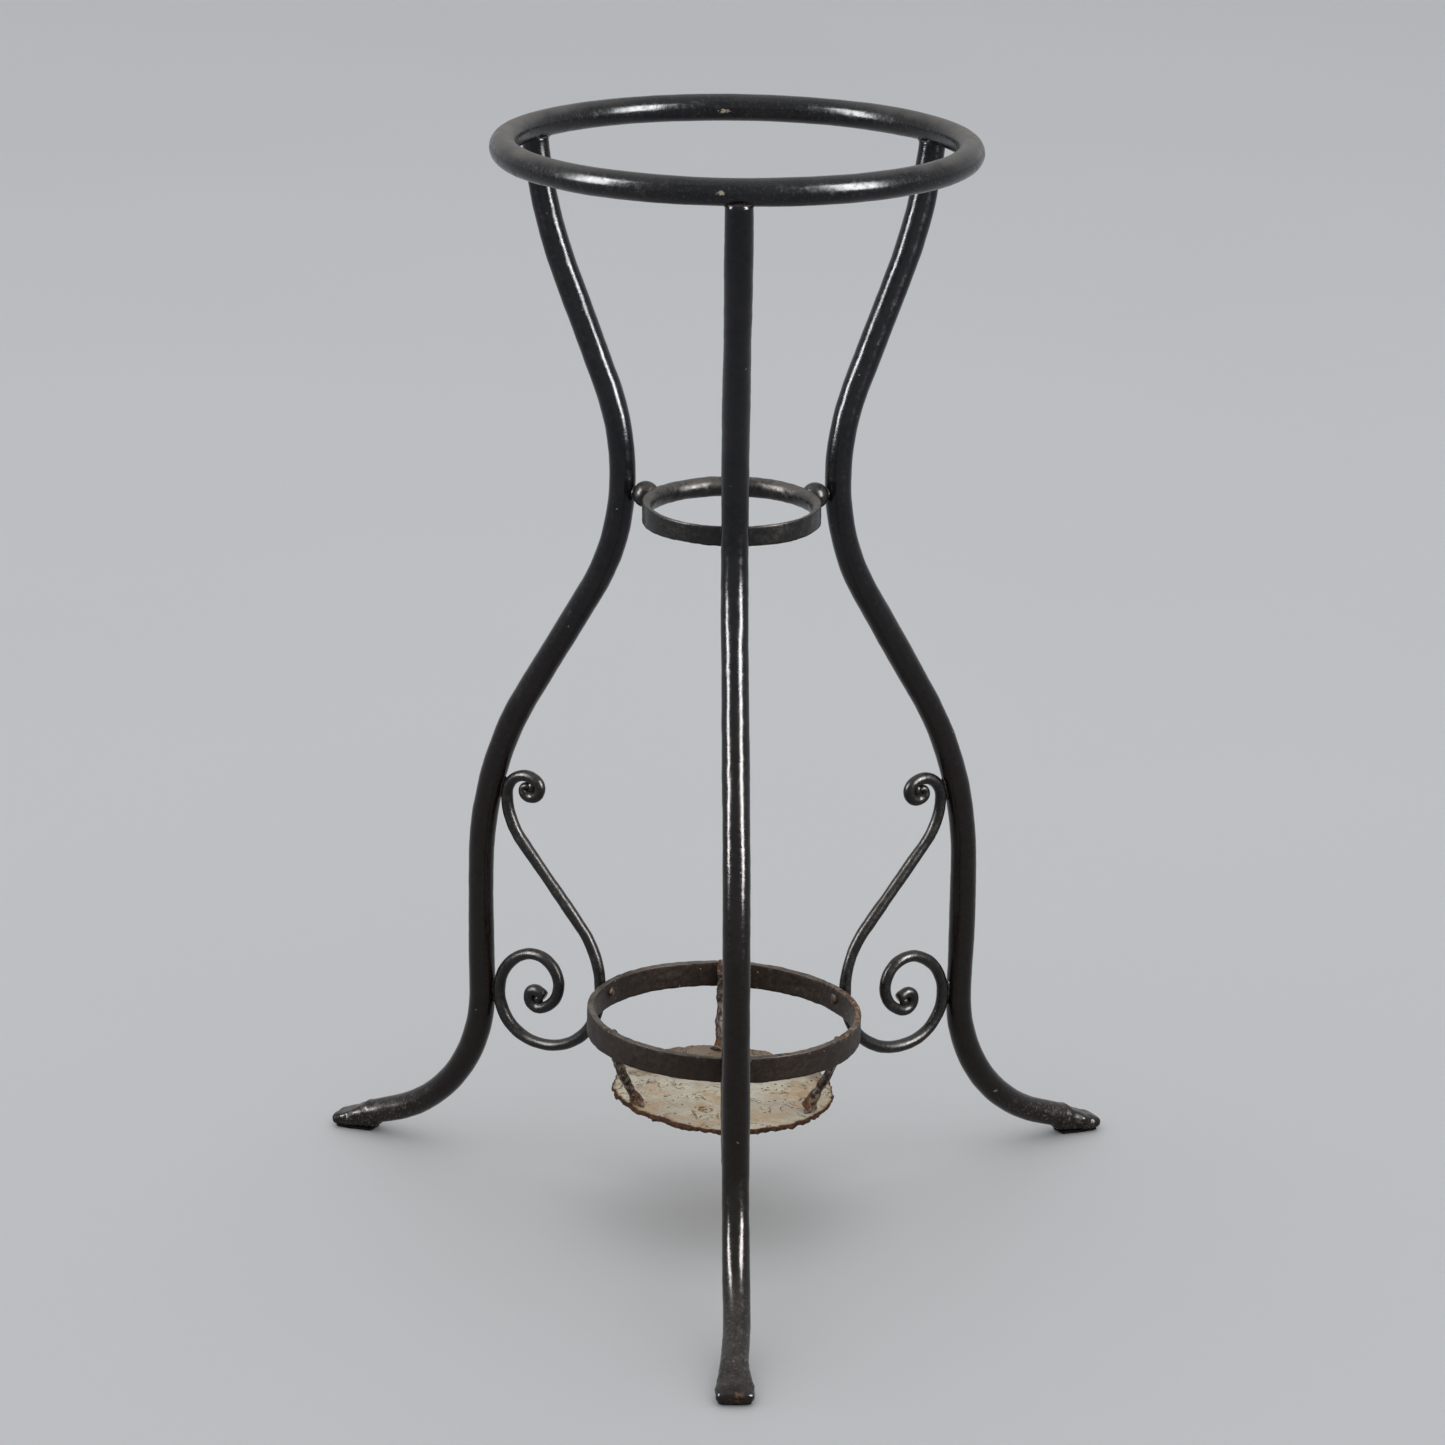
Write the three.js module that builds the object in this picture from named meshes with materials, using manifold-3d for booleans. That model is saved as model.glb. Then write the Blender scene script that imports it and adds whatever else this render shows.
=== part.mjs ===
// A three-legged wrought-iron umbrella stand: a round top ring on three bent bar legs, a small
// half-round ring at the waist held off the legs by balls, a flat lower ring carried by three
// scrolls, and a thin drip tray hung from the lower ring by three struts.
// Millimetres, +Z up, origin on the floor at the middle of the footprint.

import * as THREE from "three";
import { mergeVertices } from "three/addons/utils/BufferGeometryUtils.js";
import Module from "manifold-3d";

// ---- driving dimensions -------------------------------------------------------------------

const GAP = 0.3; // left between pieces that are welded or riveted together

const TOP_RING = { radius: 151, bar: 18, height: 739.4 };
const LEG = { bar: 18, angles: { front: 270, left: 150, right: 30 } };
const TOE = { start: 279, end: 316, width: 26, rootWidth: 12, corner: 7 };
const FOOT_PAD = { inner: 283, outer: 314.5, width: 24, innerWidth: 18, corner: 6.5, thickness: 2 };
const WAIST_RING = { radius: 59.1, height: 13.4, thickness: 6.8, bottom: 490.5 };
const BALL = { radius: 9, place: 65.1, height: 499.8 };
const LOWER_RING = { radius: 93.5, height: 18, thickness: 4.4, bottom: 129, chamfer: 0.7 };
const SCROLL = { bar: 8.2 };
const RIVET = { shank: 4, head: 7.5, dome: 2, height: 139, clearance: 0.3 };
const STRUT = {
  bar: 6,
  foot: { radius: 68, lift: 1.9 }, // lift: of its centreline over the tray
  knee: { radius: 83.4, height: 122 },
  contact: 3, // how far up the lower ring its straight top begins
  proud: 1.5, // how far it stands above the lower ring
  steps: 8,
};
const TRAY = {
  radius: 77,
  well: 64, // radius of its top that the feet of the struts leave free
  thickness: 1.5,
  top: 89,
  edge: 0.4,
};

const STRUT_ANGLES = { back: 90, front_left: 210, front_right: 330 };
// The toe from the side: each point is [distance from the stand's axis, height above its sole].
const TOE_SIDE = [
  [TOE.start, 4], [FOOT_PAD.inner, 0], [TOE.end, 0],
  [TOE.end, 4.4], [TOE.end - 3, 7.4], [TOE.start + 18, 13.8], [TOE.start + 1, 19.6],
];

const BAR_SIDES = 12; // sides of a leg's section
const THIN_SIDES = 8; // sides of a scroll's or a strut's section
const CHORD_ERROR = 0.25; // most a straight step may stray from the bend it stands for
const STEP_DEGREES = 24; // most turn in one step of a bent bar

// A bent bar's centreline, in the plane of distance from the stand's axis against height. Each
// bend is [radius, turn in degrees], positive turning anticlockwise; a straight is [length].
const LEG_LINE = {
  start: [151.7, 730],
  heading: -96.8,
  bends: [
    [300, -17.1], [78], [155, 55.6], [95.6], [252, -30.8], [1800, -2.9], [110.5, 73.9], [19.3],
  ],
};
const SCROLL_LINE = {
  start: [158.6, 274],
  heading: -136,
  bends: [
    [6.9, -194], [15.3, -120.4], [49.6, -40.6], [72.1],
    [65.1, 55.1], [44.9, 92.3], [32.8, 145.4], [19.8, 183.3], [7.1, 160],
  ],
};

// ---- materials ----------------------------------------------------------------------------

function finish(color, roughness, metalness) {
  return () => new THREE.MeshStandardMaterial({ color, roughness, metalness });
}

const blackEnamel = finish(0x15171a, 0.3, 0.1);
const satinBlack = finish(0x232120, 0.5, 0.1);
const rustyBlack = finish(0x35261d, 0.75, 0.1);
const chippedCream = finish(0xb9ae93, 0.7, 0.0);
const padRubber = finish(0x151312, 0.85, 0.0);

// ---- shared geometry ----------------------------------------------------------------------

const wasm = await Module();
wasm.setup();

/** A closed geometry as a manifold-3d solid. */
function solidOf(geometry) {
  const bare = geometry.clone();
  bare.deleteAttribute("normal");
  bare.deleteAttribute("uv");
  const merged = mergeVertices(bare, 1e-3);
  return new wasm.Manifold(
    new wasm.Mesh({
      numProp: 3,
      vertProperties: merged.attributes.position.array,
      triVerts: new Uint32Array(merged.index.array),
    }),
  );
}

/** A manifold-3d solid as a geometry. */
function geometryOf(solid) {
  const mesh = solid.getMesh();
  return new THREE.BufferGeometry()
    .setAttribute("position", new THREE.BufferAttribute(mesh.vertProperties, 3))
    .setIndex(new THREE.BufferAttribute(mesh.triVerts, 1))
    .toNonIndexed();
}

/** How many straight steps stand for a bend of this radius and turn in degrees. */
function stepsFor(radius, turn) {
  const chord = 2 * THREE.MathUtils.radToDeg(Math.acos(1 - CHORD_ERROR / radius));
  return Math.ceil(turn / Math.min(chord, STEP_DEGREES));
}

/** A bar's centreline of tangent bends and straights, in the X-Z plane. */
class BentLine extends THREE.Curve {
  constructor({ start, heading, bends }) {
    super();
    this.pieces = [];
    this.steps = 0;
    let at = new THREE.Vector2(...start);
    let angle = THREE.MathUtils.degToRad(heading);
    for (const [size, turn] of bends) {
      const steps = turn ? stepsFor(size, Math.abs(turn)) : 1;
      const sweep = THREE.MathUtils.degToRad(turn ?? 0);
      const piece = { at, angle, size, sweep, first: this.steps, steps };
      this.pieces.push(piece);
      this.steps += steps;
      at = this.placeOn(piece, 1);
      angle += sweep;
    }
  }

  placeOn({ at, angle, size, sweep }, share) {
    if (!sweep) {
      const along = new THREE.Vector2(Math.cos(angle), Math.sin(angle));
      return at.clone().addScaledVector(along, size * share);
    }
    const side = Math.sign(sweep) * size;
    const turned = angle + sweep * share;
    return new THREE.Vector2(
      at.x + side * (Math.sin(turned) - Math.sin(angle)),
      at.y - side * (Math.cos(turned) - Math.cos(angle)),
    );
  }

  getPoint(t, target = new THREE.Vector3()) {
    const step = t * this.steps;
    const piece = this.pieces.findLast((p) => p.first <= step) ?? this.pieces[0];
    const place = this.placeOn(piece, (step - piece.first) / piece.steps);
    return target.set(place.x, 0, place.y);
  }

  // Steps are shared out by how much the bar bends, not by its length.
  getUtoTmapping(u) {
    return u;
  }
}

/** A regular polygon that stands for a round bar's section. */
function roundSection(diameter, sides) {
  const corners = [];
  for (let i = 0; i < sides; i++) {
    const angle = ((i + 0.5) / sides) * 2 * Math.PI;
    corners.push(new THREE.Vector2(Math.cos(angle), Math.sin(angle)).multiplyScalar(diameter / 2));
  }
  return new THREE.Shape(corners);
}

/** A round bar swept along a centreline. */
function bar(line, diameter, sides, steps = line.steps) {
  return new THREE.ExtrudeGeometry(roundSection(diameter, sides), {
    steps,
    extrudePath: line,
    bevelEnabled: false,
  });
}

/** A ring about the Z axis from a closed outline of [radius, height] points. */
function turned(outline, segments) {
  const points = [...outline, outline[0]].map(([r, z]) => new THREE.Vector2(r, z));
  const geometry = new THREE.LatheGeometry(points, segments);
  return geometry.rotateX(Math.PI / 2);
}

/** A flat plate: an outline in the X-Y plane, from height low to height high. */
function plate(shape, low, high, curveSegments = 5) {
  const depth = high - low;
  const geometry = new THREE.ExtrudeGeometry(shape, { depth, bevelEnabled: false, curveSegments });
  return geometry.translate(0, 0, low);
}

/** A tongue along +X from inner to outer, its outer corners rounded. */
function tongue(inner, outer, innerWidth, outerWidth, corner) {
  const shape = new THREE.Shape();
  const half = outerWidth / 2;
  shape.moveTo(inner, -innerWidth / 2);
  shape.lineTo(outer - corner, -half);
  shape.absarc(outer - corner, -half + corner, corner, -Math.PI / 2, 0);
  shape.absarc(outer - corner, half - corner, corner, 0, Math.PI / 2);
  shape.lineTo(inner, innerWidth / 2);
  return shape;
}

const stand = new THREE.Group();

/** Adds a named piece, turned about the stand's axis by an angle in degrees. */
function add(name, geometry, material, degrees = 0) {
  const mesh = new THREE.Mesh(geometry, material());
  mesh.name = name;
  mesh.rotation.z = THREE.MathUtils.degToRad(degrees);
  stand.add(mesh);
}

// ---- top ring and legs --------------------------------------------------------------------

function topRing() {
  const { radius, bar: thickness, height } = TOP_RING;
  return new THREE.TorusGeometry(radius, thickness / 2, BAR_SIDES, 56).translate(0, 0, height);
}

/** The forged end of a leg: spread flat to the width of the toe and drawn down to its tip. */
function toe() {
  const sole = FOOT_PAD.thickness + GAP;
  const { start, end, width, rootWidth, corner } = TOE;
  const side = new THREE.Shape(TOE_SIDE.map(([r, z]) => new THREE.Vector2(r, sole + z)));
  const wedge = new THREE.ExtrudeGeometry(side, { depth: width, bevelEnabled: false });
  wedge.rotateX(Math.PI / 2).translate(0, width / 2, 0);
  const outline = tongue(start, end, rootWidth, width, corner);
  return solidOf(wedge).intersect(solidOf(plate(outline, 0, 2 * LEG.bar)));
}

function leg() {
  const bent = solidOf(bar(new BentLine(LEG_LINE), LEG.bar, BAR_SIDES));
  return geometryOf(bent.add(toe()));
}

function footPad() {
  const { inner, outer, width, innerWidth, corner, thickness } = FOOT_PAD;
  return plate(tongue(inner, outer, innerWidth, width, corner), 0, thickness);
}

// ---- waist ring and its balls -------------------------------------------------------------

/** Half-round bar, flat side out, rounded side towards the umbrellas. */
function waistRing() {
  const { radius, height, thickness, bottom } = WAIST_RING;
  const outline = [];
  const corners = 6;
  for (let i = 0; i <= corners; i++) {
    const angle = (i / corners) * Math.PI;
    outline.push([
      radius - thickness * Math.sin(angle),
      bottom + (height / 2) * (1 + Math.cos(angle)),
    ]);
  }
  return turned(outline, 40);
}

/** A ball with a flat filed on the side that sits against the waist ring. */
function ball() {
  const { radius, place, height } = BALL;
  const whole = new THREE.SphereGeometry(radius, 14, 10).translate(place, 0, height);
  return geometryOf(solidOf(whole).trimByPlane([1, 0, 0], WAIST_RING.radius + GAP));
}

// ---- lower ring, scrolls and rivets -------------------------------------------------------

/** What is bored out of the lower ring for a rivet, along X. */
function rivetHole() {
  const radius = RIVET.shank / 2 + RIVET.clearance;
  const bore = new THREE.CylinderGeometry(radius, radius, 2 * LOWER_RING.thickness, 10);
  const middle = LOWER_RING.radius - LOWER_RING.thickness / 2;
  return bore.rotateZ(-Math.PI / 2).translate(middle, 0, RIVET.height);
}

function lowerRing() {
  const { radius, height, thickness, bottom, chamfer } = LOWER_RING;
  const inner = radius - thickness;
  const top = bottom + height;
  const outline = [
    [inner, bottom + chamfer], [inner + chamfer, bottom],
    [radius - chamfer, bottom], [radius, bottom + chamfer],
    [radius, top - chamfer], [radius - chamfer, top],
    [inner + chamfer, top], [inner, top - chamfer],
  ];
  let ring = solidOf(turned(outline, 48));
  for (const angle of Object.values(LEG.angles)) {
    ring = ring.subtract(solidOf(rivetHole().rotateZ(THREE.MathUtils.degToRad(angle))));
  }
  return geometryOf(ring);
}

/** A domed head inside the ring with its shank through to the scroll. */
function rivet() {
  const face = LOWER_RING.radius - LOWER_RING.thickness - GAP;
  const rows = 4;
  const outline = [new THREE.Vector2(0, -RIVET.dome)];
  for (let i = 1; i <= rows; i++) {
    const angle = ((i / rows) * Math.PI) / 2;
    outline.push(
      new THREE.Vector2((RIVET.head / 2) * Math.sin(angle), -RIVET.dome * Math.cos(angle)),
    );
  }
  outline.push(new THREE.Vector2(RIVET.shank / 2, 0));
  outline.push(new THREE.Vector2(RIVET.shank / 2, LOWER_RING.thickness));
  outline.push(new THREE.Vector2(0, LOWER_RING.thickness));
  return new THREE.LatheGeometry(outline, 12).rotateZ(-Math.PI / 2).translate(face, 0, RIVET.height);
}

function scroll() {
  return bar(new BentLine(SCROLL_LINE), SCROLL.bar, THIN_SIDES);
}

// ---- tray and its struts ------------------------------------------------------------------

/** A rod that leans out from the tray and then runs up the inside of the lower ring. */
function strut() {
  const { bar: diameter, foot, knee, contact, proud, steps } = STRUT;
  const wall = LOWER_RING.radius - LOWER_RING.thickness - GAP - diameter / 2;
  const top = LOWER_RING.bottom + LOWER_RING.height + proud;
  const line = new THREE.CatmullRomCurve3([
    new THREE.Vector3(foot.radius, 0, TRAY.top + foot.lift),
    new THREE.Vector3(knee.radius, 0, knee.height),
    new THREE.Vector3(wall, 0, LOWER_RING.bottom + contact),
    new THREE.Vector3(wall, 0, top),
  ]);
  return bar(line, diameter, THIN_SIDES, steps);
}

function tray() {
  const { radius, well, thickness, top, edge } = TRAY;
  const outline = [
    new THREE.Vector2(0, top - thickness),
    new THREE.Vector2(radius - edge, top - thickness),
    new THREE.Vector2(radius, top - thickness + edge),
    new THREE.Vector2(radius, top - edge),
    new THREE.Vector2(radius - edge, top),
    new THREE.Vector2(well, top),
    new THREE.Vector2(0, top),
  ];
  return new THREE.LatheGeometry(outline, 48).rotateX(Math.PI / 2);
}

// ---- assembly -----------------------------------------------------------------------------

add("top_ring", topRing(), blackEnamel);
add("waist_ring", waistRing(), satinBlack);
add("lower_ring", lowerRing(), rustyBlack);
add("tray", tray(), chippedCream);
for (const [side, angle] of Object.entries(LEG.angles)) {
  add(`leg_${side}`, leg(), blackEnamel, angle);
  add(`foot_pad_${side}`, footPad(), padRubber, angle);
  add(`ball_${side}`, ball(), satinBlack, angle);
  add(`scroll_${side}`, scroll(), satinBlack, angle);
  add(`scroll_rivet_${side}`, rivet(), rustyBlack, angle);
}
for (const [side, angle] of Object.entries(STRUT_ANGLES)) {
  add(`strut_${side}`, strut(), rustyBlack, angle);
}

const footprint = new THREE.Box3().setFromObject(stand, true);
stand.position.y = -(footprint.min.y + footprint.max.y) / 2;

export default stand;
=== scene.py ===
"""The looks of a three-legged wrought-iron umbrella stand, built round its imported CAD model.

Shapes are worked out in millimetres from the stand's axis and the floor, as the CAD's are, and
become metres when a piece is made. A piece is a loft: rows of points, one row per station.
"""

import math

import bmesh
import bpy
import numpy as np
from mathutils import Matrix, Vector, noise


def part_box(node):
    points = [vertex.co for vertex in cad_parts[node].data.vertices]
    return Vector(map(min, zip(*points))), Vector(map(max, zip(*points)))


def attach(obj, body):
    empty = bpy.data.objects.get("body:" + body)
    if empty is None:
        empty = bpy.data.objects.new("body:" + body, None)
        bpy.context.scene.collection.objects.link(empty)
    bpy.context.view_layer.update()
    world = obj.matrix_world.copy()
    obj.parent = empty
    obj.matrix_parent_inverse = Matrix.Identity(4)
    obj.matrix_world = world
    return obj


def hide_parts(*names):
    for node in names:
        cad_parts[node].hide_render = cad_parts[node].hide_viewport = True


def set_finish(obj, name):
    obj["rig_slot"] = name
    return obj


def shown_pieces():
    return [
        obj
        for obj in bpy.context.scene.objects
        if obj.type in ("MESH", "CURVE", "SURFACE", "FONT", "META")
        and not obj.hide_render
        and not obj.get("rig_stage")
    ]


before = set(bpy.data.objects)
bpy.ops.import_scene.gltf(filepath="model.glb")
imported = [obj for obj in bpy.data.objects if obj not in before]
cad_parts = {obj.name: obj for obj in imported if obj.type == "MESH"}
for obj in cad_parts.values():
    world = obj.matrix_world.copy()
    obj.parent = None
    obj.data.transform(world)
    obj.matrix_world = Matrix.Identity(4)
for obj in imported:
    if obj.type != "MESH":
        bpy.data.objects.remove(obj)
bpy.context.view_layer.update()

MM = 0.001
TAU = 2 * math.pi
BODY = "root"


def middle(node):
    """The middle of a CAD node's box, in millimetres."""
    low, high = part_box(node)
    return (low + high) / 2 / MM


AXIS = middle("top_ring")  # the stand's upright axis passes through the top ring's middle

# ---- driving dimensions, as the CAD has them ----------------------------------------------

TOP_RING = {"radius": 151, "bar": 18, "height": 739.4}
LEG_BAR = 18
LEG_ANGLES = {"front": 270, "left": 150, "right": 30}
LEG_LINE = {
    "start": (151.7, 730),
    "heading": -96.8,
    "bends": [[300, -17.1], [78], [155, 55.6], [95.6], [252, -30.8], [1800, -2.9], [110.5, 73.9]],
}
RING_BEAD = {"radius": 0.3, "span": 5.4}  # a leg's weld to it, level beyond its span sideways
WAIST_RING = {"radius": 59.1, "height": 13.4, "thickness": 6.8, "bottom": 490.5, "corner": 0.9}
BALL = {"radius": 9, "place": 65.1, "height": 499.8}
LOWER_RING = {"radius": 93.5, "height": 18, "thickness": 4.4, "bottom": 129, "corner": 1.0}
SCROLL_BAR = 8.2
SCROLL_MIDDLE = 200  # the height between a scroll's two curls
SCROLL_LINE = {
    "start": (158.6, 274),
    "heading": -136,
    "bends": [
        [6.9, -194], [15.3, -120.4], [49.6, -40.6], [72.1],
        [65.1, 55.1], [44.9, 92.3], [32.8, 145.4], [19.8, 183.3], [7.1, 120], [4.8, 100], [6],
    ],
}
CURL_TIP = {"start": (158.6, 274), "heading": 44, "bends": [[4.0, 75], [2.6, 110]]}
CURL_EYE = {"centre": (154.2, 278.9), "radius": 3.6, "half_width": 2.3}
ROLL_CORE = {"centre": (147.5, 125.1), "radius": 3.6, "half_width": 2.9}
SCROLL_WELD = {"reach": 9, "radius": 1.9}
RIVET = {"head": 7.5, "dome": 2, "height": 139}
TRAY = {"radius": 77, "thickness": 1.5, "top": 89}
TRAY_WELD = {"reach": 8, "radius": 2.4}
TRAY_WELD_PLACE = (68, 0, TRAY["top"] + 0.8)

# Hand work leaves the parts a little out of true. Tilts are (forward, to the right) in degrees.
WAIST_TILT = (1.9, 0)
LOWER_TILT = (0.3, 1.4)
TRAY_TILT = (1.2, 2.2)
LEAN = {"front": 0.0094, "left": 0, "right": 0}  # sideways, for each millimetre down from a ball
TOE_SWAY = {"front": -2.7, "left": 0, "right": 0}  # sideways swing of a leg's lowest part
TOE_REACH = {"front": 2.5, "left": -3, "right": -3}  # how much longer a toe is than drawn

# Stretches of a leg over which something changes, as distances from the axis.
SWAY_SPAN = (245, 295)  # the foot swings sideways
REACH_SPAN = (283, 313)  # the toe grows longer or shorter than drawn
HAMMERED_SPAN = (285, 305)  # hammer marks grow
DULL_SPAN = (225, 260)  # the enamel goes dull
BRIGHT_SPAN = (306, 312)  # and is less dull again towards the tip
TIP_RUST_SPAN = (313, 315)  # the front toe rusts
TIP_RUST = {"middle": 2.5, "width": 3.5}  # that rust, sideways

# Two scuffs through the top ring's enamel: degrees round the axis, half length in degrees,
# height above the bar's middle and spread as shares of the bar's radius, strength.
RING_SCUFFS = [(92, 6, -0.1, 0.35, 0.92), (265, 3, 0.1, 0.3, 1)]
# The top ring's two sides, dustier than the rest; the dust there is partly a painted grey sheen.
DUST_AND_SHEEN_SIDES = {"angles": (180, 0), "spread": 60}  # of the top ring
CHIPPED_SIDE = {"angle": 5, "spread": 55}  # of the lower ring
# A rusty patch at the front left of the tray.
TRAY_PATCH = {"centre": (-38, -55), "reach": 18}

# The top of a leg, drawn in under the ring: distance from the axis, height, half depth, half
# width, squareness.
LEG_TOP_ROWS = [
    (151.4, 738.0, 2.6, 2.6, 2.0), (151.6, 734.4, 5.4, 5.4, 2.0),
    (151.7, 732.4, 8.2, 8.2, 2.0), (151.7, 731.2, 9.0, 9.0, 2.0),
]
# The spread end of a leg: distance from the axis, height, half depth, half width, squareness.
TOE_ROWS = [
    (269.3, 18.6, 9.0, 9.0, 2.0),
    (276, 16.3, 8.9, 9.0, 2.0),
    (281, 14.6, 8.7, 9.1, 2.1),
    (284, 12.9, 9.7, 9.3, 2.3),
    (287, 11.5, 9.7, 9.6, 2.5),
    (291, 10.2, 8.7, 10.0, 2.7),
    (298, 8.4, 7.2, 11.0, 3.0),
    (305, 6.9, 5.7, 11.9, 3.2),
    (310, 6.0, 4.9, 12.3, 3.2),
    (313.5, 5.5, 4.3, 12.2, 3.1),
    (315.6, 5.2, 3.7, 11.2, 2.8),
    (316.6, 5.0, 2.7, 9.2, 2.5),
    (316.9, 4.9, 1.3, 7.0, 2.2),
]
# The pad under it: distance, height, half depth, half width.
PAD_ROWS = [
    (283.6, 1.1, 0.5, 4.6), (284, 1.1, 0.9, 6.2), (286, 1.15, 1.15, 6.8), (292, 1.15, 1.15, 8.0),
    (301, 1.1, 1.1, 9.9), (310, 1.1, 1.1, 10.8), (312.8, 1.1, 1.1, 10.3), (314, 1.1, 1.0, 8.8),
    (314.5, 1.1, 0.6, 6.8),
]

# The rod that hangs the tray: distance, height, half depth, half width.
STRUT_ROWS = {
    "front_left": [
        (67, 90.2, 4.6, 5.0), (69.5, 95, 3.3, 3.5), (74, 103, 2.9, 3.3), (80, 115, 2.9, 3.7),
        (84, 124, 2.8, 4.6), (85.6, 134, 2.7, 4.8), (85.8, 141, 2.5, 4.2), (86.4, 144.8, 1.5, 3.0),
    ],
    "front_right": [
        (67, 90.2, 4.7, 4.9), (69.5, 95, 4.3, 4.4), (73, 101, 4.0, 4.2), (74.5, 104, 3.0, 3.1),
        (80, 115, 2.8, 2.9), (84, 124, 2.8, 2.9), (85.6, 134, 2.8, 3.0), (86.4, 144.6, 1.5, 2.3),
    ],
    "back": [
        (67, 90.2, 4.4, 4.6), (69.5, 95, 3.4, 3.6), (74, 103, 2.7, 2.8), (80, 115, 2.6, 2.7),
        (84, 124, 2.7, 2.8), (85.6, 134, 2.8, 3.1), (86, 146, 2.9, 3.6), (86.2, 150, 2.0, 2.6),
    ],
}
STRUT_ANGLES = {"back": 90, "front_left": 210, "front_right": 330}

# ---- shaping ------------------------------------------------------------------------------


def walk(start, heading, bends, step=2.5, turn_step=0.16):
    """Points along a bent bar of tangent bends [radius, turn in degrees] and straights [length].
    Neighbours are at most a step apart, and at most turn_step radians round a bend."""
    angle = math.radians(heading)
    points = [np.array(start, float)]
    for size, *turn in bends:
        sweep = math.radians(turn[0]) if turn else 0.0
        length = size * abs(sweep) if turn else size
        count = max(3, math.ceil(length / step), math.ceil(abs(sweep) / turn_step))
        origin = points[-1]
        for share in np.arange(1, count + 1) / count:
            now = angle + sweep * share
            if turn:
                side = math.copysign(size, sweep)
                out = side * (math.sin(now) - math.sin(angle))
                up = side * (math.cos(angle) - math.cos(now))
            else:
                out = size * share * math.cos(angle)
                up = size * share * math.sin(angle)
            points.append(origin + (out, up))
        angle += sweep
    return np.array(points)


def smooth_rows(rows, per_span=6):
    """Rows of numbers with more rows between them, on a Catmull-Rom curve through them all."""
    rows = np.array(rows, float)
    padded = np.vstack([2 * rows[0] - rows[1], rows, 2 * rows[-1] - rows[-2]])
    out = []
    for before, a, b, after in zip(padded, padded[1:], padded[2:], padded[3:]):
        for t in np.arange(per_span) / per_span:
            bend = 2 * before - 5 * a + 4 * b - after + t * (3 * a - 3 * b + after - before)
            out.append(a + t / 2 * (b - before + t * bend))
    out.append(rows[-1])
    return np.array(out)


def bar(line, depth, width, squareness=2.0, sides=32):
    """Stations of a bar along a line in the upright plane through the axis: depth and width
    are its half sizes in and across that plane."""
    along = np.gradient(line, axis=0)
    along /= np.linalg.norm(along, axis=1, keepdims=True)
    angle = np.arange(sides) / sides * TAU
    power = 2 / np.broadcast_to(squareness, len(line))[:, None]
    high = np.sign(np.cos(angle)) * np.abs(np.cos(angle)) ** power
    wide = np.sign(np.sin(angle)) * np.abs(np.sin(angle)) ** power
    high = high * np.broadcast_to(depth, len(line))[:, None]
    wide = wide * np.broadcast_to(width, len(line))[:, None]
    distance = line[:, :1] - along[:, 1:] * high
    height = line[:, 1:] + along[:, :1] * high
    return np.stack([distance, wide, height], -1)


def revolved(outline, stations):
    """Stations round the stand's axis of a closed outline of (distance, height) points."""
    angle = np.arange(stations)[:, None] / stations * TAU
    distance, height = np.array(outline, float).T
    flat = np.broadcast_to(height, (stations, len(height)))
    return np.stack([distance * np.cos(angle), distance * np.sin(angle), flat], -1)


def spun(outline, sides):
    """Rows round the Z axis, one for each (radius, height) point of an outline from end to end."""
    angle = np.arange(sides) / sides * TAU
    radius, height = np.array(outline, float).T[:, :, None]
    flat = np.broadcast_to(height, (len(height), sides))
    return np.stack([radius * np.cos(angle), radius * np.sin(angle), flat], -1)


def pointed(rows, direction, centre):
    """Turns rows made round the Z axis to point along a direction, and moves them."""
    turn = Vector((0, 0, 1)).rotation_difference(Vector(direction)).to_matrix()
    return rows @ np.array(turn).T + np.array(centre, float)


def arc(centre, radius, first, last, count):
    """Points of a round corner, angles in degrees."""
    angle = np.radians(np.linspace(first, last, count))
    return [(centre[0] + radius * math.cos(a), centre[1] + radius * math.sin(a)) for a in angle]


def filled(outline, step):
    """A closed outline with points added so that none are further apart than a step."""
    out = []
    for a, b in zip(outline, outline[1:] + outline[:1]):
        a, b = np.array(a), np.array(b)
        count = max(1, math.ceil(np.linalg.norm(b - a) / step))
        out += [a + (b - a) * i / count for i in range(count)]
    return np.array(out)


def ramp(values, low, high):
    """0 at low and 1 at high, straight in between. low may be the larger."""
    return np.clip((values - low) / (high - low), 0, 1)


def eased(share):
    """A share from 0 to 1 that starts and ends gently."""
    return share * share * (3 - 2 * share)


def near_angle(stations, degrees, spread):
    """1 at an angle round the stand's axis, fading to 0 a spread of degrees away."""
    angle = np.arange(stations) / stations * 360
    away = np.abs((angle - degrees + 180) % 360 - 180)
    return np.clip(1 - away / spread, 0, 1)


def noise_at(rows, size):
    """Noise from -1 to 1 at each point, in lumps of about size millimetres."""
    values = [noise.noise(Vector(point) / size) for point in rows.reshape(-1, 3)]
    return np.reshape(values, rows.shape[:-1])


def lumps(stations, seed, *layers, share=1.0):
    """Moves each point away from or towards its station's middle by seeded noise. A layer is
    (height of the lumps, their size)."""
    centre = stations.mean(axis=1, keepdims=True)
    out = stations - centre
    reach = np.linalg.norm(out, axis=-1, keepdims=True)
    out = out / np.maximum(reach, 1e-6)
    shift = np.zeros(stations.shape[:2])
    for index, (height, size) in enumerate(layers):
        offset = Vector((seed * 7.31, index * 13.7, seed * 3.17))
        flat = stations.reshape(-1, 3) / size
        values = [noise.noise(Vector(point) + offset) for point in flat]
        shift += height * np.reshape(values, shift.shape)
    return stations + out * (shift * share)[..., None]


# ---- making pieces ------------------------------------------------------------------------


def rotated(a, b, angle):
    """Two coordinates turned together by an angle in radians, from a towards b."""
    return a * math.cos(angle) - b * math.sin(angle), a * math.sin(angle) + b * math.cos(angle)


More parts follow.
